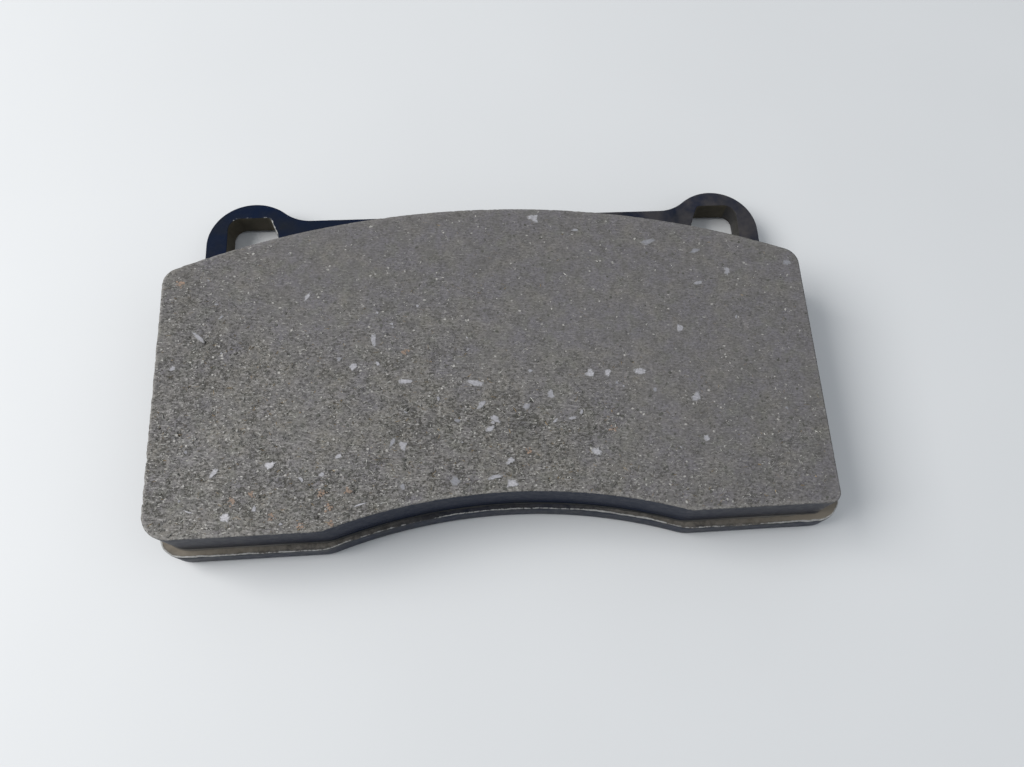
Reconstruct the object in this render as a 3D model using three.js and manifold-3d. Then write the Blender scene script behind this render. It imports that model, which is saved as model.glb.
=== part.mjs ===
// Disc-brake pad for a four-piston fixed caliper, lying on its back with the
// friction face up. Millimetres, +X across the pad, +Y towards the two ears,
// +Z from the piston side to the disc side.
//
// Heights in y below are measured from the straight lower edge of the friction
// block; the whole pad is shifted at the end so that the origin sits at the
// middle of its bounding box, on the surface that it lies on.

import * as THREE from 'three';
import { mergeVertices } from 'three/addons/utils/BufferGeometryUtils.js';
import Module from 'manifold-3d';

const wasm = await Module();
wasm.setup();

// ---- driving dimensions ----------------------------------------------------

// Layer thicknesses, from the piston side up.
const SHIM_RUBBER = 0.1;
const SHIM_STEEL = 0.5;
const SHIM_ADHESIVE = 0.1;
const PLATE_THICKNESS = 5.0;
const BOND_FILM = 0.2;
const UNDERLAYER = 2.0;
const FRICTION = 8.0;

// How far to the right of the block's centre line the hollow in the lower edge lies.
const HOLLOW_X = 1.2;

// Friction block outline. The two ends differ: the lower right corner is sharper.
const BLOCK = {
  left: { reach: 64.9, topCorner: 3.8, bottomCorner: 5.0 },
  right: { reach: 64.6, topCorner: 3.8, bottomCorner: 2.0 },
  topApex: 66.4,
  topRadius: 174,
  bottomApex: 5.5,
  bottomRadius: 109.7,
  bottomY: 0,
  knee: 7,
};

// Backing plate outline: the block's outline grown by a ledge, which is narrow all
// round but wider at the right end, plus ears.
const PLATE = {
  left: { reach: 65.9, topCorner: 4, bottomCorner: 5.2 },
  right: { reach: 68.6, topCorner: 4, bottomCorner: 5.2 },
  topApex: 67.6,
  topRadius: 175.2,
  bottomApex: 4.2,
  bottomRadius: 108.4,
  bottomY: -1.7,
  knee: 8,
};
const PLATE_TOP_EDGE = 71.7;

const EAR_CENTRE = { x: 51, y: 66 };
const EAR_RADIUS = 10.1;
const EAR_INNER_FILLET = 8.5;
const EAR_SHOULDER_FILLET = 2.5;

// Pin hole in each ear: a four-sided window with rounded corners.
const HOLE = {
  top: 72.5,
  bottom: 61.2,
  outer: 56.6,
  innerTop: 47.8,
  innerBottom: 44.6,
  sharpCorner: 0.8,
  roundCorner: 2.7,
};

// Two blind-moulded plugs lock the underlayer into the plate.
const PLUG_RADIUS = 6;
const PLUG_X = 30;
const PLUG_Y = 33;
const PLUG_GAP = 0.3;
const PLUG_SHORT_OF_BACK = 0.3;

// Noise shim: covers the plate's back inside its edge, and stops below the ears.
const SHIM_INSET = 1.6;
const SHIM = {
  left: { reach: PLATE.left.reach - SHIM_INSET, topCorner: 4, bottomCorner: 4 },
  right: { reach: PLATE.right.reach - SHIM_INSET, topCorner: 4, bottomCorner: 4 },
  topApex: PLATE.topApex - SHIM_INSET,
  topRadius: PLATE.topRadius - SHIM_INSET,
  bottomApex: PLATE.bottomApex + SHIM_INSET,
  bottomRadius: PLATE.bottomRadius + SHIM_INSET,
  bottomY: PLATE.bottomY + SHIM_INSET,
  knee: 7,
};

// Largest distance between an arc and the straight facets that stand for it.
const CHORD_ERROR = 0.02;
const SAME_POINT = 0.02;
const RIGHT_ANGLE = Math.PI / 2;

// ---- outlines ----------------------------------------------------------------

// An outline is a chain of arcs, each { x, y, radius, from, to }, joined by
// straight lines. It runs anticlockwise where to > from.
function arc(x, y, radius, from, to) {
  return { x, y, radius, from, to };
}

function arcPoints({ x, y, radius, from, to }) {
  const step = 2 * Math.acos(1 - CHORD_ERROR / radius);
  const count = Math.max(1, Math.ceil(Math.abs(to - from) / step));
  return new THREE.ArcCurve(x, y, radius, from, to, from > to).getPoints(count);
}

// Points of the closed outline, without the doubled ones where two arcs meet.
function outlinePoints(arcs) {
  const points = arcs.flatMap(arcPoints);
  return points.filter((point, i) => {
    const before = points[(i + points.length - 1) % points.length];
    return point.distanceTo(before) > SAME_POINT;
  });
}

// A whole outline from a function that makes half of it, as it runs on the right,
// from bottom centre to top centre. The left half is made alike and then mirrored.
function wholeOutline(size, makeHalf) {
  const rightHalf = makeHalf({ ...size, ...size.right, hollowX: HOLLOW_X });
  const leftHalf = makeHalf({ ...size, ...size.left, hollowX: -HOLLOW_X });
  const mirrored = leftHalf.toReversed().map(({ x, y, radius, from, to }) => (
    arc(-x, y, radius, Math.PI - to, Math.PI - from)
  ));
  return new THREE.Shape(outlinePoints([...rightHalf, ...mirrored]));
}

// Hollow arc in the middle of the lower edge, the rounded knee where it meets the
// straight part, and the lower corner.
function lowerEdge(half) {
  const { reach, hollowX, bottomY, bottomApex, bottomRadius, bottomCorner, knee } = half;
  const hollowY = bottomApex - bottomRadius;
  const kneeY = bottomY + knee;
  const run = Math.sqrt((bottomRadius + knee) ** 2 - (kneeY - hollowY) ** 2);
  const kneeAngle = Math.atan2(kneeY - hollowY, run);
  const cornerX = reach - bottomCorner;
  return [
    arc(hollowX, hollowY, bottomRadius, RIGHT_ANGLE, kneeAngle),
    arc(hollowX + run, kneeY, knee, kneeAngle - Math.PI, -RIGHT_ANGLE),
    arc(cornerX, bottomY + bottomCorner, bottomCorner, -RIGHT_ANGLE, 0),
  ];
}

// Upper corner: it touches the straight side and, from inside, the crowned arc.
function upperCorner({ reach, topApex, topRadius, topCorner }) {
  const crownY = topApex - topRadius;
  const x = reach - topCorner;
  const rise = Math.sqrt((topRadius - topCorner) ** 2 - x ** 2);
  return { crownY, ...arc(x, crownY + rise, topCorner, 0, Math.atan2(rise, x)) };
}

// Outline without ears, used by the friction layers and the shim.
function plainHalf(half) {
  const corner = upperCorner(half);
  const crown = arc(0, corner.crownY, half.topRadius, corner.to, RIGHT_ANGLE);
  return [...lowerEdge(half), corner, crown];
}

function plainOutline(size) {
  return wholeOutline(size, plainHalf);
}

// Hollow between the plate's shoulder and an ear's straight outer edge.
function shoulderFillet(crownY) {
  const x = EAR_CENTRE.x + EAR_RADIUS + EAR_SHOULDER_FILLET;
  const rise = Math.sqrt((PLATE.topRadius + EAR_SHOULDER_FILLET) ** 2 - x ** 2);
  const angle = Math.atan2(rise, x);
  return arc(x, crownY + rise, EAR_SHOULDER_FILLET, Math.PI + angle, Math.PI);
}

// Hollow between an ear's round top and the plate's straight top edge.
function innerEarFillet() {
  const y = PLATE_TOP_EDGE + EAR_INNER_FILLET;
  const rise = y - EAR_CENTRE.y;
  const run = Math.sqrt((EAR_RADIUS + EAR_INNER_FILLET) ** 2 - rise ** 2);
  const angle = Math.atan2(rise, run);
  return arc(EAR_CENTRE.x - run, y, EAR_INNER_FILLET, -angle, -RIGHT_ANGLE);
}

function plateHalf(half) {
  const corner = upperCorner(half);
  const shoulder = shoulderFillet(corner.crownY);
  const inner = innerEarFillet();
  const shoulderEdge = arc(0, corner.crownY, half.topRadius, corner.to, shoulder.from - Math.PI);
  const ear = arc(EAR_CENTRE.x, EAR_CENTRE.y, EAR_RADIUS, 0, Math.PI + inner.from);
  return [...lowerEdge(half), corner, shoulderEdge, shoulder, ear, inner];
}

// Arc that rounds the corner between two straight edges.
function roundedCorner(before, point, after, radius) {
  const into = point.clone().sub(before).normalize();
  const out = after.clone().sub(point).normalize();
  const turn = Math.asin(into.cross(out));
  const towardCentre = new THREE.Vector2(-into.y, into.x).multiplyScalar(Math.sign(turn));
  const reach = radius * Math.tan(Math.abs(turn) / 2);
  const centre = point.clone().addScaledVector(into, -reach).addScaledVector(towardCentre, radius);
  const from = Math.atan2(-towardCentre.y, -towardCentre.x);
  return arc(centre.x, centre.y, radius, from, from + turn);
}

// Pin window of one ear; side is +1 for the right ear and -1 for the left.
function pinHole(side) {
  const corners = [
    { point: new THREE.Vector2(side * HOLE.innerTop, HOLE.top), radius: HOLE.sharpCorner },
    { point: new THREE.Vector2(side * HOLE.outer, HOLE.top), radius: HOLE.roundCorner },
    { point: new THREE.Vector2(side * HOLE.outer, HOLE.bottom), radius: HOLE.roundCorner },
    { point: new THREE.Vector2(side * HOLE.innerBottom, HOLE.bottom), radius: HOLE.roundCorner },
  ];
  const arcs = corners.map(({ point, radius }, i) => {
    const before = corners.at(i - 1).point;
    const after = corners[(i + 1) % corners.length].point;
    return roundedCorner(before, point, after, radius);
  });
  return new THREE.Path(outlinePoints(arcs));
}

function circlePoints(x, y, radius) {
  return outlinePoints([arc(x, y, radius, 0, 2 * Math.PI)]);
}

// ---- solids --------------------------------------------------------------------

function slab(shape, z, thickness) {
  const geometry = new THREE.ExtrudeGeometry(shape, { depth: thickness, bevelEnabled: false });
  geometry.translate(0, 0, z);
  return geometry;
}

function toManifold(geometry) {
  const bare = geometry.clone();
  bare.deleteAttribute('normal');
  bare.deleteAttribute('uv');
  const merged = mergeVertices(bare);
  return new wasm.Manifold(new wasm.Mesh({
    numProp: 3,
    vertProperties: merged.getAttribute('position').array,
    triVerts: new Uint32Array(merged.getIndex().array),
  }));
}

function toGeometry(manifold) {
  const mesh = manifold.getMesh();
  const geometry = new THREE.BufferGeometry();
  geometry.setAttribute('position', new THREE.BufferAttribute(mesh.vertProperties, mesh.numProp));
  geometry.setIndex(new THREE.BufferAttribute(mesh.triVerts, 1));
  geometry.computeVertexNormals();
  return geometry;
}

function part(name, geometry, material) {
  const mesh = new THREE.Mesh(geometry, material);
  mesh.name = name;
  return mesh;
}

// ---- parts ---------------------------------------------------------------------

// Stack of layers: z of the bottom of each one.
const Z_SHIM_OUTER = 0;
const Z_SHIM_STEEL = Z_SHIM_OUTER + SHIM_RUBBER;
const Z_SHIM_INNER = Z_SHIM_STEEL + SHIM_STEEL;
const Z_SHIM_ADHESIVE = Z_SHIM_INNER + SHIM_RUBBER;
const Z_PLATE = Z_SHIM_ADHESIVE + SHIM_ADHESIVE;
const Z_BOND = Z_PLATE + PLATE_THICKNESS;
const Z_UNDERLAYER = Z_BOND + BOND_FILM;
const Z_FRICTION = Z_UNDERLAYER + UNDERLAYER;

const BOTH_SIDES = [-1, 1];

function plugHole(side) {
  return new THREE.Path(circlePoints(side * PLUG_X, PLUG_Y, PLUG_RADIUS + PLUG_GAP));
}

function makeBackingPlate() {
  const shape = wholeOutline(PLATE, plateHalf);
  for (const side of BOTH_SIDES) {
    shape.holes.push(pinHole(side));
    shape.holes.push(plugHole(side));
  }
  const paintedSteel = new THREE.MeshStandardMaterial({
    color: 0x14161a, roughness: 0.35, metalness: 0.2,
  });
  return part('backing_plate', slab(shape, Z_PLATE, PLATE_THICKNESS), paintedSteel);
}

function makeBondFilm() {
  const shape = plainOutline(BLOCK);
  for (const side of BOTH_SIDES) {
    shape.holes.push(plugHole(side));
  }
  const phenolicAdhesive = new THREE.MeshStandardMaterial({
    color: 0x3a2c20, roughness: 0.6, metalness: 0,
  });
  return part('bond_film', slab(shape, Z_BOND, BOND_FILM), phenolicAdhesive);
}

// Insulating layer under the friction material, with its two moulded plugs.
function makeUnderlayer() {
  let solid = toManifold(slab(plainOutline(BLOCK), Z_UNDERLAYER, UNDERLAYER));
  const plugBottom = Z_PLATE + PLUG_SHORT_OF_BACK;
  const plugTop = Z_UNDERLAYER + UNDERLAYER / 2;
  for (const side of BOTH_SIDES) {
    const plug = new THREE.Shape(circlePoints(side * PLUG_X, PLUG_Y, PLUG_RADIUS));
    solid = solid.add(toManifold(slab(plug, plugBottom, plugTop - plugBottom)));
  }
  const mouldedFibre = new THREE.MeshStandardMaterial({
    color: 0x2b2a28, roughness: 0.75, metalness: 0,
  });
  return part('friction_underlayer', toGeometry(solid), mouldedFibre);
}

function makeFrictionBlock() {
  const composite = new THREE.MeshStandardMaterial({
    color: 0x6b6660, roughness: 0.9, metalness: 0.05,
  });
  return part('friction_block', slab(plainOutline(BLOCK), Z_FRICTION, FRICTION), composite);
}

function makeShimLayer(name, z, thickness, material) {
  return part(name, slab(plainOutline(SHIM), z, thickness), material);
}

function makeShim() {
  const rubber = new THREE.MeshStandardMaterial({
    color: 0x1c1c1d, roughness: 0.7, metalness: 0,
  });
  const steel = new THREE.MeshStandardMaterial({
    color: 0x8b8f94, roughness: 0.4, metalness: 0.9,
  });
  const adhesive = new THREE.MeshStandardMaterial({
    color: 0x2a2622, roughness: 0.5, metalness: 0,
  });
  return [
    makeShimLayer('shim_outer_rubber', Z_SHIM_OUTER, SHIM_RUBBER, rubber),
    makeShimLayer('shim_steel_core', Z_SHIM_STEEL, SHIM_STEEL, steel),
    makeShimLayer('shim_inner_rubber', Z_SHIM_INNER, SHIM_RUBBER, rubber),
    makeShimLayer('shim_adhesive', Z_SHIM_ADHESIVE, SHIM_ADHESIVE, adhesive),
  ];
}

const brakePad = new THREE.Group();
brakePad.add(
  makeBackingPlate(),
  makeBondFilm(),
  makeUnderlayer(),
  makeFrictionBlock(),
  ...makeShim(),
);

const earPeak = EAR_CENTRE.y + EAR_RADIUS;
brakePad.position.x = (PLATE.left.reach - PLATE.right.reach) / 2;
brakePad.position.y = -(PLATE.bottomY + earPeak) / 2;

export default brakePad;
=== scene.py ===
import math

import bpy
import numpy as np
from mathutils import Matrix, Vector
from mathutils.geometry import delaunay_2d_cdt


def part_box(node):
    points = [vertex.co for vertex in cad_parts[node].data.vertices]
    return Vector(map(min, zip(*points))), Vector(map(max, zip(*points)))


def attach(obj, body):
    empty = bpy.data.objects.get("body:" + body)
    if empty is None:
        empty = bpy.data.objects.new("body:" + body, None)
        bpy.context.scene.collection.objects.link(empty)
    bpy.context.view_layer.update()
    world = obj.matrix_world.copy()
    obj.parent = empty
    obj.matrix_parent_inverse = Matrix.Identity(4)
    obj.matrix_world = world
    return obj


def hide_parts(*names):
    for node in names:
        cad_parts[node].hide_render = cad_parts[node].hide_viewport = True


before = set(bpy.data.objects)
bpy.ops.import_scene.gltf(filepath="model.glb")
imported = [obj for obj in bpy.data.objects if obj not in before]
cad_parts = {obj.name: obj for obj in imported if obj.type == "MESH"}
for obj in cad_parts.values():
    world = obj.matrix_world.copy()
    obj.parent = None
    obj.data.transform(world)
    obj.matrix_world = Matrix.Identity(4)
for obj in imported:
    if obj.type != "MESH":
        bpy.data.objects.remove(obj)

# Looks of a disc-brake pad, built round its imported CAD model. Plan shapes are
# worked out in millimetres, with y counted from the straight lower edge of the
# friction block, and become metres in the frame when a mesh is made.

MM = 0.001
HALF_TURN = math.pi
QUARTER = math.pi / 2

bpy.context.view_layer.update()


def levels(name):
    """Lowest and highest z of a CAD node, in millimetres."""
    low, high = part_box(name)
    return low.z / MM, high.z / MM


# ---- driving dimensions, in millimetres ----

HOLLOW_X = 1.2  # how far right of the block's centre line its lower hollow lies
BLOCK = dict(
    top_apex=66.4, top_radius=174.0,
    bottom_apex=5.5, bottom_radius=109.7, bottom_y=0.0, knee=7.0,
    left=dict(reach=64.9, top_corner=3.8, bottom_corner=5.0),
    right=dict(reach=64.6, top_corner=3.8, bottom_corner=2.0),
)
PLATE = dict(
    top_apex=67.6, top_radius=175.2,
    bottom_apex=4.2, bottom_radius=108.4, bottom_y=-1.7, knee=8.0,
    left=dict(reach=65.9, top_corner=4.0, bottom_corner=5.2),
    right=dict(reach=68.6, top_corner=4.0, bottom_corner=5.2),
)
SHIM = dict(
    top_apex=66.0, top_radius=173.6,
    bottom_apex=5.8, bottom_radius=110.0, bottom_y=-0.1, knee=7.0,
    left=dict(reach=64.3, top_corner=4.0, bottom_corner=4.0),
    right=dict(reach=67.0, top_corner=4.0, bottom_corner=4.0),
)
PLATE_TOP_EDGE = 71.7
EAR_X, EAR_Y, EAR_RADIUS = 51.0, 66.0, 10.1
EAR_INNER_FILLET, EAR_SHOULDER_FILLET = 8.5, 2.5
HOLE_TOP, HOLE_BOTTOM, HOLE_OUTER = 72.5, 61.2, 56.6
HOLE_INNER_TOP, HOLE_INNER_BOTTOM = 47.8, 44.6
HOLE_SHARP, HOLE_ROUND = 0.8, 2.7
PLUG_PLACES = [(-30.0, 33.0), (30.0, 33.0)]
PLUG_RADIUS, PLUG_HOLE_RADIUS = 6.0, 6.3

# From the plan's own origin, on the block's centre line at its lower edge, to the frame's.
BLOCK_BOX_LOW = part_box("friction_block")[0]
PLAN_SHIFT = (BLOCK_BOX_LOW.x / MM + BLOCK["left"]["reach"], BLOCK_BOX_LOW.y / MM, 0)

SAMPLE = 0.05  # spacing of the points that an outline is first drawn with
EDGE_SPACING = 0.5  # between the points of a layer's outline, and of one used for distances


# ---- plan outlines ----

def lower_edge(reach, hollow_x, bottom_apex, bottom_radius, bottom_y, bottom_corner, knee, **_):
    """Right half of the lower edge: hollow arc, rounded knee, corner."""
    hollow_y = bottom_apex - bottom_radius
    knee_y = bottom_y + knee
    run = math.sqrt((bottom_radius + knee) ** 2 - (knee_y - hollow_y) ** 2)
    angle = math.atan2(knee_y - hollow_y, run)
    return [
        (hollow_x, hollow_y, bottom_radius, QUARTER, angle),
        (hollow_x + run, knee_y, knee, angle - HALF_TURN, -QUARTER),
        (reach - bottom_corner, bottom_y + bottom_corner, bottom_corner, -QUARTER, 0),
    ]


def upper_corner(reach, top_apex, top_radius, top_corner, **_):
    """Corner between the straight side and the crowned arc, and the crown's centre height."""
    crown_y = top_apex - top_radius
    x = reach - top_corner
    rise = math.sqrt((top_radius - top_corner) ** 2 - x ** 2)
    return (x, crown_y + rise, top_corner, 0, math.atan2(rise, x)), crown_y


def plain_half(half):
    """Outline without ears, as it runs on the right, from bottom centre to top centre."""
    corner, crown_y = upper_corner(**half)
    return lower_edge(**half) + [corner, (0, crown_y, half["top_radius"], corner[4], QUARTER)]


def plate_half(half):
    """Outline with an ear, as it runs on the right, from bottom centre to top centre."""
    corner, crown_y = upper_corner(**half)
    shoulder_x = EAR_X + EAR_RADIUS + EAR_SHOULDER_FILLET
    rise = math.sqrt((PLATE["top_radius"] + EAR_SHOULDER_FILLET) ** 2 - shoulder_x ** 2)
    shoulder = math.atan2(rise, shoulder_x)
    inner_y = PLATE_TOP_EDGE + EAR_INNER_FILLET
    run = math.sqrt((EAR_RADIUS + EAR_INNER_FILLET) ** 2 - (inner_y - EAR_Y) ** 2)
    inner = math.atan2(inner_y - EAR_Y, run)
    return lower_edge(**half) + [
        corner,
        (0, crown_y, PLATE["top_radius"], corner[4], shoulder),
        (shoulder_x, crown_y + rise, EAR_SHOULDER_FILLET, HALF_TURN + shoulder, HALF_TURN),
        (EAR_X, EAR_Y, EAR_RADIUS, 0, HALF_TURN - inner),
        (EAR_X - run, inner_y, EAR_INNER_FILLET, -inner, -QUARTER),
    ]


def hole_arcs(side):
    """Rounded corners of an ear's pin window, in order; side is 1 or -1."""
    corners = [
        (side * HOLE_INNER_TOP, HOLE_TOP, HOLE_SHARP),
        (side * HOLE_OUTER, HOLE_TOP, HOLE_ROUND),
        (side * HOLE_OUTER, HOLE_BOTTOM, HOLE_ROUND),
        (side * HOLE_INNER_BOTTOM, HOLE_BOTTOM, HOLE_ROUND),
    ]
    arcs = []
    for i, (x, y, radius) in enumerate(corners):
        point = np.array((x, y))
        into = point - np.array(corners[i - 1][:2])
        out = np.array(corners[(i + 1) % 4][:2]) - point
        into, out = into / np.hypot(*into), out / np.hypot(*out)
        turn = math.asin(into[0] * out[1] - into[1] * out[0])
        inward = np.array((-into[1], into[0])) * math.copysign(1, turn)
        centre = point - into * radius * math.tan(abs(turn) / 2) + inward * radius
        start = math.atan2(-inward[1], -inward[0])
        arcs.append((*centre, radius, start, start + turn))
    return arcs


def mirrored(arcs):
    """The same arcs on the other side of the centre line, in the opposite order."""
    return [(-x, y, r, HALF_TURN - b, HALF_TURN - a) for x, y, r, a, b in reversed(arcs)]


def turns_right(points):
    """True for a clockwise loop."""
    x, y = points.T
    return np.sum(x * np.roll(y, -1) - np.roll(x, -1) * y) < 0


def trace(arcs, spacing):
    """Evenly spaced points round the closed outline, with the outward normal at each."""
    corners = []
    for x, y, r, a, b in arcs:
        count = max(2, math.ceil(abs(b - a) * r / SAMPLE))
        t = np.linspace(a, b, count + 1)
        corners.append(np.stack([x + r * np.cos(t), y + r * np.sin(t)], 1))
    line = np.concatenate(corners + [corners[0][:1]])
    step = np.hypot(*np.diff(line, axis=0).T)
    along = np.concatenate([[0], np.cumsum(step)])
    count = int(round(along[-1] / spacing))
    wanted = np.linspace(0, along[-1], count, endpoint=False)
    points = np.stack([np.interp(wanted, along, line[:, k]) for k in (0, 1)], 1)
    tangent = np.roll(points, -1, 0) - np.roll(points, 1, 0)
    tangent /= np.hypot(*tangent.T)[:, None]
    normal = np.stack([tangent[:, 1], -tangent[:, 0]], 1)
    return points, -normal if turns_right(points) else normal


def outer_trace(size, make_half=plain_half, spacing=EDGE_SPACING):
    """A whole outline. Both halves are made as right ones, and the left one is mirrored."""
    right = make_half({**size, **size["right"], "hollow_x": HOLLOW_X})
    left = make_half({**size, **size["left"], "hollow_x": -HOLLOW_X})
    return trace(right + mirrored(left), spacing)


def hole_trace(side, spacing=EDGE_SPACING):
    """A hole's points, with the normals pointing out of the metal, into the hole."""
    points, normal = trace(hole_arcs(side), spacing)
    return points, -normal


def round_trace(centre, radius, spacing=EDGE_SPACING):
    """A circle's points, anticlockwise, with the normals pointing away from its centre."""
    turn = np.linspace(0, 2 * math.pi, round(2 * math.pi * radius / spacing), endpoint=False)
    normal = np.stack([np.cos(turn), np.sin(turn)], 1)
    return np.array(centre) + radius * normal, normal


def plug_hole_traces(spacing=EDGE_SPACING):
    """The round holes that the underlayer's plugs sit in, with the normals pointing into them."""
    circles = [round_trace(place, PLUG_HOLE_RADIUS, spacing) for place in PLUG_PLACES]
    return [(points, -normal) for points, normal in circles]


# ---- noise ----

def lattice_value(corner, seed):
    """A repeatable number from -1 to 1 for each whole-number lattice corner."""
    primes = np.array([73856093, 19349663, 83492791], np.int64)
    mixed = (corner * primes).sum(1) + seed * 2654435761
    mixed = (mixed ^ (mixed >> 13)) * 1274126177
    mixed = mixed ^ (mixed >> 16)
    return (mixed & 0xFFFF) / 32767.5 - 1


def smooth_noise(points, cell, seed):
    """Smooth noise from -1 to 1 whose bumps are about cell wide."""
    q = points / cell
    base = np.floor(q).astype(np.int64)
    f = q - base
    f = f * f * (3 - 2 * f)
    total = np.zeros(len(points))
    for offset in np.ndindex(2, 2, 2):
        weight = np.prod(np.where(offset, f, 1 - f), axis=1)
        total += weight * lattice_value(base + np.array(offset), seed)
    return total


def fractal(points, cell, seed, octaves=3):
    """Smooth noise with finer bumps added, each layer half as wide and half as high."""
    total = sum(smooth_noise(points, cell / 2 ** k, seed + k) / 2 ** k for k in range(octaves))
    return total / sum(0.5 ** k for k in range(octaves))


def unit(values):
    """The values, kept between 0 and 1."""
    return np.clip(values, 0, 1)


def with_z(points, z=0.0):
    return np.column_stack([points, np.broadcast_to(z, len(points))])


# ---- meshes ----

def link(name, data):
    """A new object in the scene that shows this mesh, light or camera."""
    made = bpy.data.objects.new(name, data)
    bpy.context.scene.collection.objects.link(made)
    return made


def to_mesh(name, points, faces, smooth=True):
    """A mesh object from points in millimetres, y from the block's lower edge."""
    placed = (points + PLAN_SHIFT) * MM
    mesh = bpy.data.meshes.new(name)
    mesh.from_pydata(placed.tolist(), [], [list(map(int, f)) for f in faces])
    mesh.validate()
    mesh.polygons.foreach_set("use_smooth", [smooth] * len(mesh.polygons))
    mesh.update()
    return link(name, mesh)


def plan_points(made):
    """A mesh's points in millimetres, with y counted from the block's lower edge."""
    flat = np.zeros(len(made.data.vertices) * 3)
    made.data.vertices.foreach_get("co", flat)
    return flat.reshape(-1, 3) / MM - PLAN_SHIFT


def set_attributes(made, **values):
    """Give each of the mesh's points a number under each name; the materials read them."""
    for name, numbers in values.items():
        layer = made.data.attributes.new(name, "FLOAT", "POINT")
        layer.data.foreach_set("value", np.asarray(numbers, np.float32))


def bind(made, material, node=None):
    """Give a piece its material, hang it under the root body, and hide the CAD node it stands for if one
    is named.
    """
    made.data.materials.append(material)
    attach(made, "root")
    if node:
        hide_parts(node)


def fill_plan(loops, spacing, margin=0.6):
    """Triangles that fill the area between closed loops, with an even field of inner points.

    Returns all the points, the loops' own points first, and the triangles, anticlockwise."""
    rim = np.concatenate(loops)
    edges, start = [], 0
    for loop in loops:
        n = len(loop)
        edges += [(start + i, start + (i + 1) % n) for i in range(n)]
        start += n
    low, high = rim.min(0), rim.max(0)
    row = spacing * math.sqrt(3) / 2
    inner = []
    for k, y in enumerate(np.arange(low[1] + row, high[1], row)):
        xs = np.arange(low[0] + spacing * (0.5 + 0.5 * (k % 2)), high[0], spacing)
        inner.append(np.stack([xs, np.full(len(xs), y)], 1))
    inner = np.concatenate(inner)
    inner = inner[inside(inner, loops) & (rim_distance(inner, rim, spacing) > margin * spacing)]
    everything = np.concatenate([rim, inner])
    result = delaunay_2d_cdt([Vector(p) for p in everything], edges, [], 0, 1e-6)
    points = np.array([tuple(p) for p in result[0]])
    faces = np.array(result[2])
    return points, faces[inside(points[faces].mean(1), loops)]


def inside(points, loops):
    """True for points within the first loop and outside the others, by counting crossings."""
    odd = np.zeros(len(points), bool)
    x, y = points.T
    for loop in loops:
        for (x0, y0), (x1, y1) in zip(loop, np.roll(loop, -1, 0)):
            if y0 == y1:
                continue
            spans = (y0 > y) != (y1 > y)
            odd ^= spans & (x < x0 + (y - y0) * (x1 - x0) / (y1 - y0))
    return odd


def rim_distance(points, rim, reach):
    """Distance to the nearest rim point, or reach where that is further away."""
    cells = {}
    for i, key in enumerate(map(tuple, np.floor(rim / reach).astype(int))):
        cells.setdefault(key, []).append(i)
    keys = np.floor(points / reach).astype(int)
    best = np.full(len(points), float(reach))
    for shift in np.ndindex(3, 3):
        for i, key in enumerate(map(tuple, keys + shift - 1)):
            near = cells.get(key)
            if near:
                best[i] = min(best[i], np.hypot(*(rim[near] - points[i]).T).min())
    return best


def band(first, second, n):
    """Quads between two rings of n points that start at those indices."""
    return [(first + i, first + (i + 1) % n, second + (i + 1) % n, second + i) for i in range(n)]


# ---- materials: node helpers ----

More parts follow.
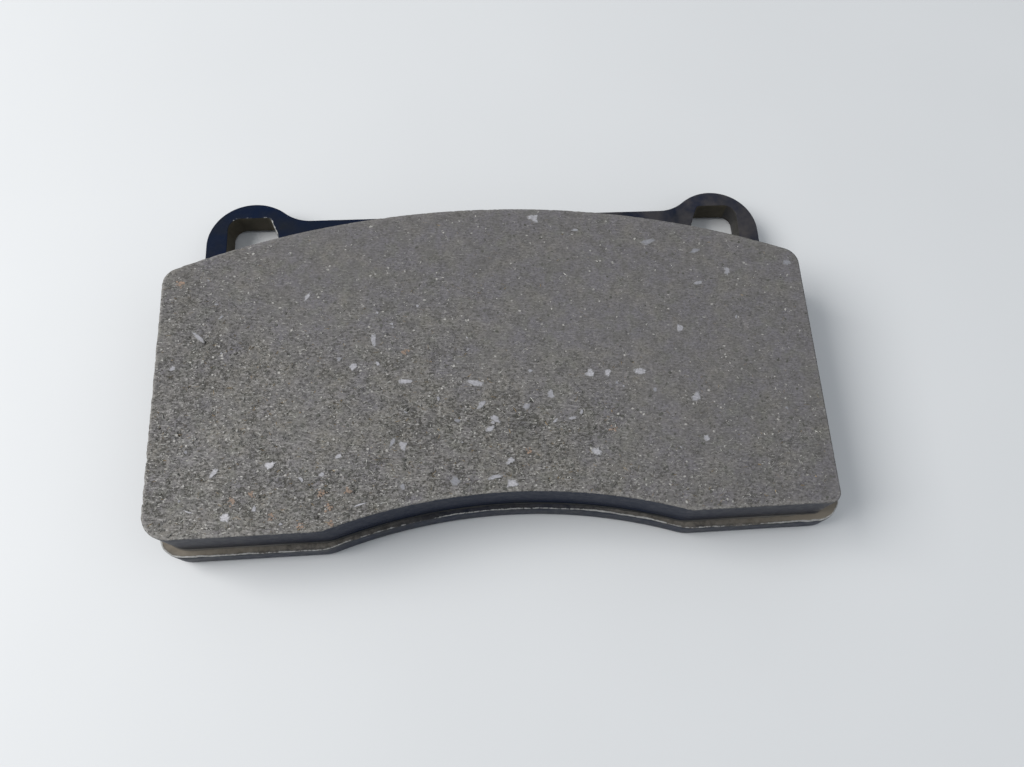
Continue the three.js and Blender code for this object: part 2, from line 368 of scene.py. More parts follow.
class Paint:
    """A node material with one Principled shader, built from small named steps."""

    def __init__(self, name):
        self.material = bpy.data.materials.new(name)
        self.material.use_nodes = True
        self.tree = self.material.node_tree
        self.shader = self.tree.nodes["Principled BSDF"]
        place = self.node("TexCoord").outputs["Object"]
        self.mm = self.node("VectorMath", {0: place, 3: 1 / MM}, operation="SCALE").outputs[0]

    def feed(self, socket, value):
        """Link another node's output to a socket, or set a plain value on it."""
        if isinstance(value, bpy.types.NodeSocket):
            self.tree.links.new(value, socket)
        else:
            socket.default_value = value

    def node(self, kind, inputs=None, **settings):
        made = self.tree.nodes.new("ShaderNode" + kind)
        for key, value in settings.items():
            setattr(made, key, value)
        for key, value in (inputs or {}).items():
            self.feed(made.inputs[key], value)
        return made

    def stretched(self, scale, turn=(0, 0, 0), shift=(0, 0, 0)):
        """Millimetre coordinates, turned, then scaled along each axis."""
        turned = self.node("Mapping", {"Vector": self.mm, "Rotation": turn, "Location": shift})
        return self.node("VectorMath", {0: turned.outputs[0], 1: scale}, operation="MULTIPLY").outputs[0]

    def noise(self, size, detail=3.0, roughness=0.55, vector=None):
        """Noise from 0 to 1 whose bumps are about size millimetres wide."""
        made = self.node("TexNoise", {"Vector": vector or self.mm, "Scale": 1 / size,
                                      "Detail": detail, "Roughness": roughness})
        return made.outputs["Fac"]

    def wobble(self, amount, size, detail=3.0, roughness=0.55):
        """Noise round zero, up to about half the amount each way."""
        return self.times(self.minus(self.noise(size, detail, roughness), 0.5), amount)

    def cells(self, size, vector=None):
        """Distance from the middle of the nearest random cell, about size millimetres wide."""
        made = self.node("TexVoronoi", {"Vector": vector or self.mm, "Scale": 1 / size})
        return made.outputs["Distance"]

    def remap(self, value, low, high, to_low=0.0, to_high=1.0):
        made = self.node("MapRange", {"Value": value, "From Min": low, "From Max": high,
                                      "To Min": to_low, "To Max": to_high})
        return made.outputs[0]

    def math(self, operation, *values):
        return self.node("Math", dict(enumerate(values)), operation=operation).outputs[0]

    def plus(self, a, b):
        return self.math("ADD", a, b)

    def minus(self, a, b):
        return self.math("SUBTRACT", a, b)

    def times(self, a, b):
        return self.math("MULTIPLY", a, b)

    def mix(self, amount, a, b):
        """Colour between a and b."""
        return self.node("Mix", {0: amount, 6: a, 7: b}, data_type="RGBA").outputs[2]

    def blend(self, amount, a, b):
        """Number between a and b."""
        return self.node("Mix", {0: amount, 2: a, 3: b}, data_type="FLOAT").outputs[0]

    def attribute(self, name):
        return self.node("Attribute", attribute_name=name).outputs["Fac"]

    def bump(self, height, depth, strength=1.0):
        """A normal from a height of 0 to 1 that stands for depth millimetres."""
        inputs = {"Height": height, "Distance": depth * MM, "Strength": strength}
        return self.node("Bump", inputs).outputs[0]

    def finish(self, color, roughness, normal=None, metallic=0.0, specular=0.5):
        inputs = {"Base Color": color, "Roughness": roughness, "Metallic": metallic,
                  "Specular IOR Level": specular}
        if normal is not None:
            inputs["Normal"] = normal
        for key, value in inputs.items():
            self.feed(self.shader.inputs[key], value)
        return self.material


def rgb(r, g, b):
    return (r, g, b, 1.0)


# ---- materials: the ground face and the paint ----

# Black paint tinted navy: the blue in it is a painted reflection of blue surroundings.
PAINT_WITH_BLUE_REFLECTION = rgb(0.0040, 0.0088, 0.025)
PAINT_SECOND_TONE = rgb(0.0100, 0.0125, 0.019)
PAINT_SMUDGE = rgb(0.046, 0.043, 0.044)
PAINT_SPECULAR = 0.14
UPPER_SPECULAR = 0.055

BROWN_MATRIX = rgb(0.174, 0.164, 0.149)
GREY_MATRIX = rgb(0.150, 0.143, 0.155)
OLIVE_PATCH = rgb(0.138, 0.139, 0.118)
DIM_PATCH = rgb(0.120, 0.115, 0.114)
DIM_GRAIN = rgb(0.084, 0.081, 0.078)
PALE_STREAK = rgb(0.250, 0.240, 0.234)
DARK_PORE = rgb(0.050, 0.048, 0.041)
PALE_SLIVER = rgb(0.44, 0.43, 0.40)
WORN_RIM = rgb(0.26, 0.25, 0.235)

WALL_DUST = rgb(0.112, 0.104, 0.092)
THIN_DUST = rgb(0.050, 0.046, 0.041)
THICK_DUST = rgb(0.150, 0.138, 0.122)
# partly caked dust, partly painted light for the ledge where the block shades it
CAKED_DUST_AND_PAINTED_LIGHT = rgb(0.190, 0.166, 0.134)
ADHESIVE_DUST = rgb(0.120, 0.110, 0.096)
DARK_CUT = rgb(0.040, 0.035, 0.023)
BROWN_CUT = rgb(0.096, 0.084, 0.058)
DULL_STEEL = rgb(0.14, 0.14, 0.135)
BRIGHT_STEEL = rgb(0.48, 0.48, 0.47)


def matrix_color(p, openness, grain):
    """Brown to grey matrix, with olive and dim patches, dim grain and pale streaks."""
    hue = p.minus(p.noise(6.0), p.times(openness, 0.16))
    color = p.mix(p.remap(hue, 0.26, 0.54), BROWN_MATRIX, GREY_MATRIX)
    olive = p.noise(3.6, 3.0, 0.6, p.stretched((1, 1, 1), shift=(21, 9, 0)))
    color = p.mix(p.remap(olive, 0.50, 0.66, 0.0, 0.55), color, OLIVE_PATCH)
    color = p.mix(p.remap(p.noise(2.2), 0.44, 0.70), color, DIM_PATCH)
    color = p.mix(p.remap(grain, 0.30, 0.60, 1.0, 0.0), color, DIM_GRAIN)
    streak = p.noise(0.5, 3.0, 0.6, p.stretched((0.40, 1.3, 1.0), (0, 0, 0.12)))
    lift = p.times(p.remap(streak, 0.52, 0.72), p.blend(openness, 0.4, 1.0))
    return p.mix(lift, color, PALE_STREAK)


def pore_mask(p, openness):
    """Small dark pores, crowded in places, and more of them where the face is open."""
    pores = p.noise(0.46, 3.0, 0.75, p.stretched((0.75, 1.1, 1.0), shift=(7, 3, 0)))
    pores = p.plus(pores, p.wobble(0.26, 2.4, 3.0, 0.6))
    broad = p.math("MULTIPLY_ADD", openness, 0.03, p.wobble(0.14, 10.0, 2.0))
    return p.remap(p.plus(pores, broad), 0.56, 0.66)


def composite_height(p, openness, grain, dark, pale):
    """Height of the ground face: grain, sunken pores, proud slivers, pebbles where it is open."""
    height = p.plus(p.times(grain, 0.6), p.times(p.noise(0.2, 2.0, 0.7), 0.4))
    height = p.minus(height, p.times(dark, 0.5))
    height = p.plus(height, p.times(pale, 0.3))
    pebble = p.cells(0.50, p.stretched((0.75, 1.1, 1.0)))
    return p.minus(height, p.times(pebble, p.remap(openness, 0.2, 1.0, 0.0, 0.8)))


def ground_composite():
    """Ground friction face: grey matrix with dark pores, pale grains and streaks.

    The side walls are painted where the mesh's paint attribute is 1, and dusty by film. The
    open attribute says how coarse the face is, rim is high where the rim has crumbled, and
    light is painted light: a factor on the face's colour, lightest at the lower left."""
    p = Paint("ground_composite")
    openness = p.attribute("open")
    grain = p.noise(0.42, 4.0, 0.7, p.stretched((0.75, 1.15, 1.0)))
    slivers = p.noise(0.34, 2.0, 0.6, p.stretched((0.5, 1.35, 1.0), (0, 0, 0.1), (13, 5, 0)))
    pale = p.remap(slivers, 0.62, 0.70)
    dark = pore_mask(p, openness)
    color = matrix_color(p, openness, grain)
    color = p.mix(p.times(dark, p.blend(openness, 0.42, 0.82)), color, DARK_PORE)
    color = p.mix(p.times(pale, p.blend(openness, 0.22, 1.0)), color, PALE_SLIVER)
    # painted light: scales the face's colour, lighter towards the lower left
    color = p.node("VectorMath", {0: color, 3: p.attribute("light")}, operation="SCALE").outputs[0]
    worn = p.times(p.attribute("rim"), p.remap(p.noise(0.5, 3.0, 0.7), 0.40, 0.58))
    color = p.mix(worn, color, WORN_RIM)

    painted = p.remap(p.plus(p.attribute("paint"), p.wobble(0.9, 0.45)), 0.42, 0.58)
    orange_peel = p.noise(1.4, 2.0)
    dusty = p.remap(p.noise(1.6, 4.0, 0.6), 0.3, 0.65, 0.5, 1.1)
    # the wall's paint colour holds the same painted blue reflection
    coat = p.mix(p.times(p.attribute("film"), dusty), PAINT_WITH_BLUE_REFLECTION, WALL_DUST)
    color = p.mix(painted, color, coat)
    coat_roughness = p.remap(orange_peel, 0.3, 0.7, 0.40, 0.52)
    roughness = p.blend(painted, p.blend(pale, 0.82, 0.45), coat_roughness)
    height = composite_height(p, openness, grain, dark, pale)
    height = p.blend(painted, height, p.times(orange_peel, 0.25))
    relief = p.times(height, p.blend(openness, 0.45, 1.9))
    return p.finish(color, roughness, p.bump(relief, 0.10), specular=PAINT_SPECULAR)


def black_paint():
    """Semi-gloss black paint over steel or composite, tinted navy as a painted blue reflection.

    The mesh's attributes say where it is worn bare, dusty, smudged, or sawn, with the sawn
    mark weakened on one wall as painted shade and dust above 1 partly painted light. Upper is 1
    on the plate's level upper side, which reflects less."""
    p = Paint("black_paint")
    upper, cut, dust = p.attribute("upper"), p.attribute("cut"), p.attribute("dust")
    color = p.mix(p.remap(p.noise(7.0, 2.0), 0.35, 0.7), PAINT_WITH_BLUE_REFLECTION, PAINT_SECOND_TONE)
    smear = p.remap(p.noise(4.5), 0.30, 0.70)
    color = p.mix(p.times(p.attribute("smudge"), smear), color, PAINT_SMUDGE)
    layer = p.mix(p.remap(p.noise(1.4, 4.0, 0.6), 0.30, 0.68), THIN_DUST, THICK_DUST)
    # dust above 1 mixes in a lighter colour: partly caked dust, partly painted light on the shaded ledge
    layer = p.mix(p.remap(dust, 1.0, 1.5), layer, CAKED_DUST_AND_PAINTED_LIGHT)
    powder = p.times(dust, p.remap(p.noise(0.5, 4.0, 0.7), 0.2, 0.6, 0.5, 1.0))
    color = p.mix(powder, color, layer)
    # sawn walls turn brown, except where painted shade keeps the right window's outer wall dark
    color = p.mix(p.times(cut, 0.9), color, p.mix(p.noise(1.5), DARK_CUT, BROWN_CUT))
    bare = p.remap(p.plus(p.attribute("bare"), p.wobble(1.9, 0.9, 4.0, 0.7)), 0.52, 0.78)
    color = p.mix(bare, color, p.mix(p.noise(0.6), DULL_STEEL, BRIGHT_STEEL))

    peel = p.noise(1.1)
    roughness = p.remap(peel, 0.3, 0.7, 0.38, 0.50)
    roughness = p.minus(roughness, p.times(upper, 0.18))
    for amount, level in ((powder, 0.8), (cut, 0.6), (bare, 0.5)):
        roughness = p.blend(amount, roughness, level)
    height = p.plus(p.times(peel, 0.7), p.times(p.noise(0.25, 2.0), 0.3))
    specular = p.remap(upper, 0.0, 1.0, PAINT_SPECULAR, UPPER_SPECULAR)
    return p.finish(color, roughness, p.bump(height, 0.03, 0.8), specular=specular)


# ---- materials: the layers, chips and grains ----

def adhesive(name, color):
    """Lumpy cured adhesive, with grey dust where the mesh's dust attribute is high."""
    p = Paint(name)
    lumps = p.noise(0.6, 4.0)
    shade = p.mix(p.remap(lumps, 0.3, 0.7), color, rgb(*[c * 0.5 for c in color[:3]]))
    shade = p.mix(p.attribute("dust"), shade, ADHESIVE_DUST)
    return p.finish(shade, p.remap(lumps, 0.3, 0.7, 0.45, 0.7), p.bump(lumps, 0.08, 0.8))


def pale_chip():
    """Flat ceramic and mineral chips in the ground face, some of them faint. Grey matrix
    smears over their rims, where the core attribute is low."""
    p = Paint("pale_chip")
    veins = p.noise(0.40, 4.0, 0.75, p.stretched((0.6, 1.3, 1.0), (0, 0, 0.3)))
    veins = p.remap(veins, 0.34, 0.66)
    faint = p.mix(veins, rgb(0.122, 0.123, 0.136), rgb(0.200, 0.201, 0.220))
    bright = p.mix(veins, rgb(0.215, 0.211, 0.226), rgb(0.480, 0.472, 0.495))
    color = p.mix(p.attribute("tone"), faint, bright)
    blotch = p.remap(p.noise(0.22, 2.0), 0.35, 0.65)
    smear = p.mix(blotch, rgb(0.085, 0.083, 0.082), rgb(0.165, 0.160, 0.158))
    cover = p.plus(p.attribute("core"), p.wobble(2.0, 0.30, 3.0, 0.7))
    color = p.mix(p.remap(cover, 0.02, 0.34), smear, color)
    return p.finish(color, p.remap(veins, 0.0, 1.0, 0.55, 0.8), p.bump(p.noise(0.25), 0.04))


def grain_material(name, first, second, roughness, metallic):
    """Grains and fibres: each has its own tone between two colours, and is a little uneven."""
    p = Paint(name)
    uneven = p.remap(p.noise(0.35), 0.3, 0.7, -0.25, 0.25)
    color = p.mix(p.plus(p.attribute("tone"), uneven), first, second)
    shine = p.remap(p.noise(0.3, 2.0), 0.3, 0.7, roughness - 0.1, roughness + 0.1)
    return p.finish(color, shine, p.bump(p.noise(0.12, 2.0), 0.01), metallic)


def rubber_coat():
    """Thin matt rubber coat, finely pebbled, with faint scuffs."""
    p = Paint("rubber_coat")
    broad = p.remap(p.noise(14.0), 0.3, 0.7)
    scuff = p.remap(p.noise(1.0, 3.0, 0.6, p.stretched((0.12, 1.6, 1.0), (0, 0, 0.5))), 0.60, 0.78)
    color = p.mix(broad, rgb(0.020, 0.020, 0.021), rgb(0.030, 0.030, 0.031))
    color = p.mix(p.times(scuff, 0.5), color, rgb(0.07, 0.07, 0.072))
    roughness = p.blend(scuff, p.remap(broad, 0.0, 1.0, 0.52, 0.64), 0.42)
    return p.finish(color, roughness, p.bump(p.cells(0.45), 0.03, 0.7))


def sheet_steel():
    """Cold rolled sheet with fine streaks along the rolling direction."""
    p = Paint("sheet_steel")
    rolled = p.noise(0.5, 3.0, 0.6, p.stretched((0.05, 1.0, 1.0)))
    color = p.mix(rolled, rgb(0.36, 0.37, 0.38), rgb(0.50, 0.51, 0.52))
    return p.finish(color, p.remap(rolled, 0.3, 0.7, 0.28, 0.45), p.bump(rolled, 0.01), 1.0)


# ---- friction block ----

FACE_SPACING = 0.36  # between the points of the ground face
FACE_SINK = 0.03  # matrix surface below the highest grains
RIM_REACH = 1.1  # how far in from the rim the edge crumbles
RIM_ROUNDING = 0.04  # inset of the sound rim
RIM_BREAK = 0.07  # how much further in the crumbled rim starts
WORN_REACH = 0.8  # how far in from the rim the face is rubbed pale
WALL_ROWS = 14  # rings of points down the side wall
WALL_INSET = 0.02  # how far in the painted wall lies
BASE_SPACING = 6.0  # between the points of the flat underside


def coarseness(points):
    """How open the ground face is, from 1 at the rough lower left to 0 at the right."""
    x, y = points.T
    drift = 0.5 - x / 110 - (y - 22) / 50
    centre = 0.45 * np.exp(-((x - 2) / 24) ** 2 - ((y - 14) / 16) ** 2)
    patches = 0.28 * fractal(with_z(points), 16.0, 5, 2)
    return unit(drift + centre + patches)


def rim_crumble(points):
    """How strongly the rim has crumbled at each point, from 0 to 1."""
    coarse = fractal(with_z(points), 1.8, 11, 2)
    fine = fractal(with_z(points), 0.7, 17, 2)
    return unit(0.3 * coarse + 0.6 * fine + 0.6 * coarseness(points) - 0.2)


def painted_light_falloff(points):
    """Painted light on the ground face: a factor on its colour, lightest at the lower left."""
    left = unit((50 - points[:, 0]) / 100)
    lower = unit((55 - points[:, 1]) / 45) ** 1.3
    return 0.875 + 0.27 * left * lower


def wall_film(points):
    """How dusty the painted lower wall is: clean in the hollow, dusty towards the corners."""
    x, y = points[:, 0], points[:, 1]
    return unit((np.abs(x) - 28) / 22) * unit((24 - y) / 14)


def face_depth(points, rim):
    """Depth of the ground face below the block's top plane: pores, and the crumbled rim."""
    flat = with_z(points)
    open_face = coarseness(points)
    texture = 0.03 * (fractal(flat, 0.95, 3) + 1) * (0.35 + 1.3 * open_face)
    pores = 0.22 * unit(fractal(flat, 0.9, 29, 2) - 0.52 + 0.2 * open_face) / 0.3
    voids = 0.30 * unit(fractal(flat, 2.2, 37, 3) - 0.60 + 0.1 * open_face) / 0.3
    gap = rim_distance(points, rim, RIM_REACH)
    crumble = rim_crumble(points)
    edge = unit(1 - gap / (0.25 + 0.7 * crumble)) ** 1.6 * (0.05 + 0.22 * crumble)
    return FACE_SINK + texture + pores + voids + edge


def block_wall(rim, normal, wall_top, low, crumble):
    """Rings of points down the block's wall, closer together near the top, and how much of
    the rim's crumbling is left at each point."""
    broken = RIM_ROUNDING + RIM_BREAK * crumble
    rings, fades = [], []
    for k in range(1, WALL_ROWS + 1):
        share = (k / WALL_ROWS) ** 1.7
        z = wall_top + (low - wall_top) * share
        fade = np.exp(-(wall_top - z) / (0.25 + 0.5 * crumble))
        ripple = 0.02 * fractal(np.column_stack([rim, z]), 1.8, 51, 2)
        inset = broken * fade + WALL_INSET + ripple * min(1, k / 3) * (k < WALL_ROWS)
        rings.append(np.column_stack([rim - normal * inset[:, None], z]))
        fades.append(fade)
    return rings, fades


def make_friction_block():
    """The block: ground face, crumbled rim, painted wall and flat underside, as one solid."""
    low, high = levels("friction_block")
    rim, normal = outer_trace(BLOCK, spacing=FACE_SPACING)
    n = len(rim)
    plan, face_triangles = fill_plan([rim], FACE_SPACING)
    depth = face_depth(plan, rim)
    crumble = rim_crumble(rim)
    face = np.column_stack([plan, high - depth])
    face[:n, :2] -= normal * (RIM_ROUNDING + RIM_BREAK * crumble)[:, None]
    rings, fades = block_wall(rim, normal, high - depth[:n], low, crumble)
    base_plan, base_triangles = fill_plan([rings[-1][:, :2]], BASE_SPACING, 0.3)
    base = with_z(base_plan[n:], low)

    faces = [tuple(f) for f in face_triangles]
    starts = [0] + [len(face) + k * n for k in range(WALL_ROWS)]
    for upper, lower in zip(starts, starts[1:]):
        faces += band(lower, upper, n)
    base_start = starts[-1] + n
    lookup = np.concatenate([np.arange(n) + starts[-1], np.arange(len(base)) + base_start])
    faces += [tuple(lookup[f][::-1]) for f in base_triangles]
    points = np.concatenate([face, *rings, base])

    to_rim = rim_distance(plan, rim, RIM_REACH)
    worn_face = unit(1 - to_rim / WORN_REACH) * (0.25 + 0.75 * coarseness(plan))
    worn_corner = unit((rim[:, 0] - 59) / 4) * unit((5 - rim[:, 1]) / 3)
    paint = [1 - 0.8 * fade - 0.65 * worn_corner for fade in fades]
    worn = [fade * worn_face[:n] for fade in fades]
    made = to_mesh("friction_composite_block", points, faces)
    set_attributes(
        made,
        paint=np.concatenate([np.zeros(len(face)), *paint, np.ones(len(base))]),
        rim=np.concatenate([worn_face, *worn, np.zeros(len(base))]),
        open=coarseness(points[:, :2]),
        light=painted_light_falloff(points),
        film=0.24 * wall_film(points),
    )
    bind(made, ground_composite(), "friction_block")


# ---- slabs with shaped edges ----

def make_slab(name, loops, profile, spacing, pegs=(), peg_foot=0.0):
    """A flat plate with shaped edges. Each loop is (points, normals out of the material), and
    the profile lists (inset, z) up the wall, with inset and z as numbers or one per loop point.
    Pegs are loops too: each stands out from the underside, down to peg_foot."""
    sizes = [len(points) for points, _ in loops]
    total = sum(sizes)
    points, normals = (np.concatenate(parts) for parts in zip(*loops))
    rows, faces = [], []
    for inset, z in profile:
        moved = points - normals * np.broadcast_to(inset, total)[:, None]
        rows.append(np.column_stack([moved, np.broadcast_to(z, total)]))
    for k in range(len(rows) - 1):
        offset = 0
        for index, size in enumerate(sizes):
            quads = band(k * total + offset, (k + 1) * total + offset, size)
            clockwise = turns_right(loops[index][0]) != (index > 0)
            faces += [q[::-1] for q in quads] if clockwise else quads
            offset += size
    made = np.concatenate(rows)
    for row, flip in ((0, True), (len(rows) - 1, False)):
        flat_loops = np.split(rows[row][:, :2], np.cumsum(sizes)[:-1])
        if flip:
            flat_loops += [points for points, _ in pegs]
        plan, caps = fill_plan(flat_loops, spacing, 0.4)
        level = float(np.median(rows[row][:, 2]))
        start = len(made)
        made = np.concatenate([made, with_z(plan[total:], level)])
        lookup = np.concatenate([np.arange(total) + row * total, np.arange(len(plan) - total) + start])
        faces += [tuple(lookup[f][::-1] if flip else lookup[f]) for f in caps]
        root = start
        for points, _ in pegs if flip else ():
            size, foot = len(points), len(made)
            middle = points.mean(0)[None]
            made = np.concatenate([made, with_z(points, peg_foot), with_z(middle, peg_foot)])
            faces += band(foot, root, size)
            faces += [(foot + (i + 1) % size, foot + i, foot + size) for i in range(size)]
            root += size
    return to_mesh(name, made, faces)


def edge_wear(loops):
    """How bare of paint the plate's upper edge is at each loop point: most along the lower
    edge, some round the pin windows' tops, and hardly any round the ears."""
    (outer, _), (right, right_normal), (left, left_normal), *plugs = loops
    flank = unit((14 - outer[:, 1]) / 10)
    wear = [np.maximum(flank, 0.12)]
    for normal, strength, inward in ((right_normal, 0.15, 1), (left_normal, 0.60, -1)):
        facing_in = unit(inward * normal[:, 0])
        wear.append(strength * np.maximum(0.75 * unit(-normal[:, 1]), facing_in))
    wear = np.concatenate(wear)
    loop_points = with_z(np.concatenate([outer, right, left]))
    wear *= np.clip(0.92 + 0.9 * fractal(loop_points, 9.0, 101, 2), 0.55, 1.2)
    wear[(loop_points[:, 0] > 60) & (loop_points[:, 1] < 6)] *= 1.4
    return np.concatenate([wear] + [np.zeros(len(points)) for points, _ in plugs])


PLATE_SPACING = 0.4  # between the points of the plate's outline


def plate_profile(points, wear, low, high):
    """Inset and level of each row up the plate's wall: rolled over at its foot, a little
    uneven up its side, and with a burr and notches at the worn upper edge."""
    burr = (0.03 + 0.06 * unit(fractal(points, 1.6, 71, 3) + 0.3)) * wear
    wander = 0.03 * fractal(points, 2.4, 83, 2)
    roll = 0.35 + 0.12 * fractal(points, 6.0, 91, 2)
    notch = 0.13 * (fractal(points, 1.8, 97, 3) + 0.5) * wear
    return [
        (roll, low),
        (roll * 0.45, low + 0.05 + 0.02 * roll),
        (roll * 0.12, low + 0.18),
        (0.02, low + 0.45),
        (0.03 + 0.5 * np.abs(wander), low + 1.6),
        (0.06 + wander, low + 2.6),
        (0.06 + wander, high - 1.2),
        (0.05 + 0.6 * wander + 0.5 * notch, high - 0.35),
        (0.07 + notch, high - 0.12),
        (0.11 + notch, high - 0.03 + burr),
        (0.19 + notch, high - 0.01 + burr),
        (0.30 + notch, high + burr * 0.4),
        (0.46 + notch, high),
        (0.80, high),
    ]


# How far the paint is rubbed off on each row of the profile, from the foot to the upper side.
RUBBED = [0.0] * 8 + [0.4, 1.0, 1.0, 0.75, 0.15, 0.0]


def plate_dust_and_painted_light(place, upper):
    """Dust on the ledge: thickest by the block's foot and at the lower corners. Above 1, at the
    lower corners and ends, it is partly painted light where the block shades the ledge.
    """
    x, y, _ = place.T
    foot = rim_distance(place[:, :2], outer_trace(BLOCK)[0], 3.0)
    low_edge = unit((20 - y) / 14)
    hollow = 1 - 0.72 * np.exp(-(x / 22) ** 4)
    corner = unit((x - 57) / 6) * low_edge
    ends = unit((np.abs(x) - 40) / 16) * low_edge
    # near rises above 1 at the lower right corner and the ends: partly painted light where the block's
    # wall shades the ledge
    near = np.clip(1.5 - foot / 2.0 + corner + 0.3 * ends, 0, 1.05 + 0.4 * ends)
    return upper * near * (0.35 + 0.65 * low_edge) * hollow


def sawn_wall_and_painted_shade(place, low, high):
    """1 on the sawn walls of the pin windows, and less on the right one's outer wall: painted
    shade that darkens that wall.
    """
    x, _, z = place.T
    windows = np.concatenate([hole_trace(side)[0] for side in (1, -1)])
    wall = rim_distance(place[:, :2], windows, 0.6) < 0.4
    sawn = wall & (z < high - 0.05) & (z > low + 0.05)
    # the right window's outer wall gets less of the sawn colour: painted shade, darker there
    return sawn * np.where(x > HOLE_OUTER - 2, 0.45, 1.0)


def make_backing_plate():
    low, high = levels("backing_plate")
    loops = [outer_trace(PLATE, plate_half, PLATE_SPACING)]
    loops += [hole_trace(side, PLATE_SPACING) for side in (1, -1)]
    loops += plug_hole_traces(PLATE_SPACING)
    wear = edge_wear(loops)
    points = with_z(np.concatenate([p for p, _ in loops]))
    profile = plate_profile(points, wear, low, high)
    made = make_slab("painted_backing_plate", loops, profile, 2.2)
    place = plan_points(made)
    upper = unit((place[:, 2] - (high - 0.3)) / 0.25)
    bare = np.zeros(len(place))
    bare[:len(profile) * len(points)] = np.outer(RUBBED, wear).ravel()
    set_attributes(
        made,
        upper=upper,
        dust=plate_dust_and_painted_light(place, upper),
        smudge=upper * unit((place[:, 0] - 15) / 18),
        bare=bare,
        cut=sawn_wall_and_painted_shade(place, low, high),
    )
    bind(made, bpy.data.materials["black_paint"], "backing_plate")


def make_layer(name, node, size, material, edge, holes=(), pegs=(), dust=0.0):
    """One bonded layer, following its CAD node's levels, with its edge as the profile says.
    A layer with pegs starts at the bond film's top, and its pegs go down to the node's foot."""
    node_foot, high = levels(node)
    low = levels("bond_film")[1] if pegs else node_foot
    loops = [outer_trace(size), *holes]
    points = np.concatenate([points for points, _ in loops])
    made = make_slab(name, loops, edge(points, low, high), 3.0, pegs, node_foot)
    set_attributes(made, dust=dust * wall_film(plan_points(made)))
    bind(made, material, node)


def underlayer_edge(points, low, high):
    """A slightly rippled wall that ends straight under the block's."""
    ripple = 0.02 + 0.015 * fractal(with_z(points), 1.8, 53, 2)
    return [(ripple, low), (ripple, low + 0.6), (ripple, low + 1.3), (0.02, high)]


def bond_edge(points, low, high):
    """Squeezed-out adhesive that makes a small fillet at the block's foot."""
    bead = -0.22 - 0.16 * np.clip(fractal(with_z(points), 2.2, 61, 3), -1, 1)
    for place in PLUG_PLACES:
        bead[np.hypot(*(points - place).T) < PLUG_HOLE_RADIUS + 1] = 0.0
    return [(bead, low), (bead * 0.8, low + 0.05), (bead * 0.4, low + 0.11), (0.0, high)]


def straight_edge(inset):
    """A straight wall whose upper and lower edges are broken by the inset."""
    def edge(points, low, high):
        third = (high - low) / 3
        return [(inset, low), (0.0, low + third), (0.0, high - third), (inset, high)]
    return edge


def make_layers():
    plugs = [round_trace(place, PLUG_RADIUS) for place in PLUG_PLACES]
    black_film = adhesive("bond_adhesive_black", rgb(0.012, 0.012, 0.012))
    dark_glue = adhesive("shim_adhesive_dark", rgb(0.05, 0.045, 0.04))
    coat = rubber_coat()
    make_layer("moulded_underlayer", "friction_underlayer", BLOCK, black_paint(),
               underlayer_edge, pegs=plugs, dust=0.36)
    make_layer("bond_adhesive_film", "bond_film", BLOCK, black_film,
               bond_edge, holes=plug_hole_traces(), dust=0.7)
    shim = [
        ("noise_shim_adhesive", "shim_adhesive", dark_glue, "shim_glue", 0.02),
        ("noise_shim_inner_coat", "shim_inner_rubber", coat, "shim_rubber", 0.02),
        ("noise_shim_sheet", "shim_steel_core", sheet_steel(), "shim_steel", 0.05),
        ("noise_shim_outer_coat", "shim_outer_rubber", coat, "shim_rubber", 0.02),
    ]
    for name, node, material, slot_name, inset in shim:
        make_layer(name, node, SHIM, material, straight_edge(inset))


# ---- grains, chips and fibres set in the ground face ----

def random_spots(rng, count, margin, rim, evenness=0.35):
    """Random places on the face, at least margin in from the rim. The more open the face is,
    the closer they lie; evenness is the share that the densest places get everywhere."""
    low, high = rim.min(0) + margin, rim.max(0) - margin
    spots = rng.uniform(low, high, (count * 4, 2))
    chance = evenness + (1 - evenness) * coarseness(spots)
    spots = spots[rng.uniform(0, 1, len(spots)) < chance]
    spots = spots[inside(spots, [rim])]
    return spots[rim_distance(spots, rim, margin) >= margin * 0.999][:count]


class Specks:
    """Collects many small solids for one mesh."""

    def __init__(self):
        self.points, self.faces, self.tones, self.cores, self.count = [], [], [], [], 0

    def add(self, points, faces, tone, core=1.0):
        """One solid, with its own tone, and core as a number or one per point."""
        self.points.append(points)
        self.cores.append(np.broadcast_to(core, len(points)))
        self.faces += [tuple(self.count + i for i in f) for f in faces]
        self.tones.append(np.full(len(points), tone))
        self.count += len(points)

    def make(self, name, material):
        made = to_mesh(name, np.concatenate(self.points), self.faces, False)
        set_attributes(made, tone=np.concatenate(self.tones), core=np.concatenate(self.cores))
        bind(made, material)


# The rings of a chip, from its foot to near its middle: size, depth, and how clear of matrix.
CHIP_RINGS = [(0.95, 0.30, 0.0), (1.0, 0.04, 0.0), (0.88, 0.0, 0.08), (0.5, 0.0, 0.6)]


